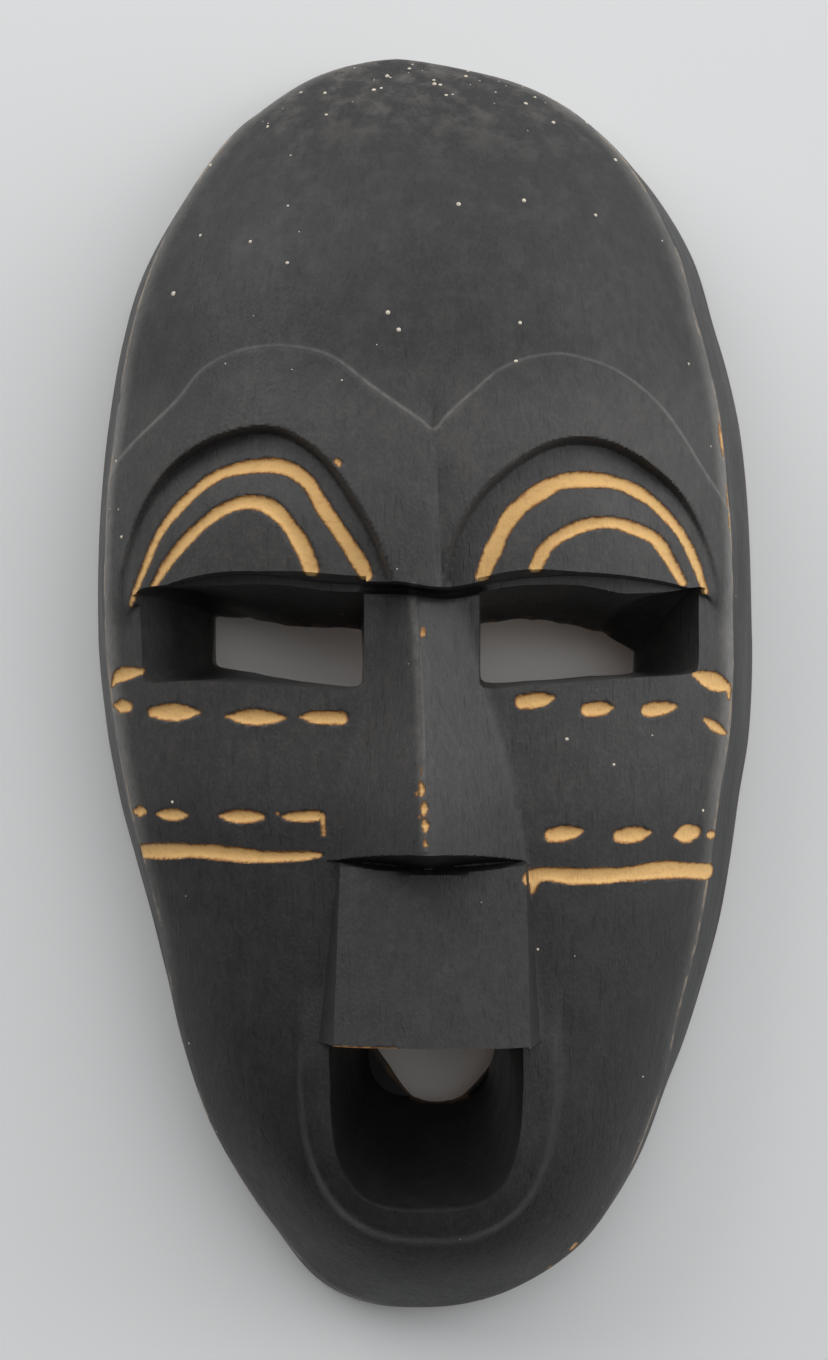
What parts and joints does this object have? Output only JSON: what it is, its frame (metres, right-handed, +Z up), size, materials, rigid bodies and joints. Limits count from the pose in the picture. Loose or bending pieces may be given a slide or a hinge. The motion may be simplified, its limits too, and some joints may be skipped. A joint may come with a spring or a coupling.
{
  "type": "carved wooden wall mask",
  "caption": "Long oval wall mask carved from one block of black-stained wood, with pale gouge cuts, open eyes and mouth, a hollow back and a hinged D-ring hanger.",
  "frame": {"origin": "the point in the plane of the wall where the nail carries the hanger ring", "axes": "+Z up, +Y from the mask's back into the wall, +X to the right of someone who looks at the mask's face"},
  "size_m": [0.1051, 0.048, 0.2],
  "materials": {
    "carved_wood": "matt black stain with bare pale wood in the gouge cuts",
    "zinc_steel": "dull zinc plating"
  },
  "bodies": {
    "mask": {"mask_body": "carved_wood", "hanger_strap": "zinc_steel", "hanger_screw": "zinc_steel"},
    "ring": {"hanger_ring": "zinc_steel"}
  },
  "joints": [
    {"name": "ring_swing", "type": "hinge", "parent": "mask", "child": "ring", "pos_m": [0, -0.0033, -0.0086], "axis": [-1, 0, 0], "range_deg": [0, 180]}
  ]
}
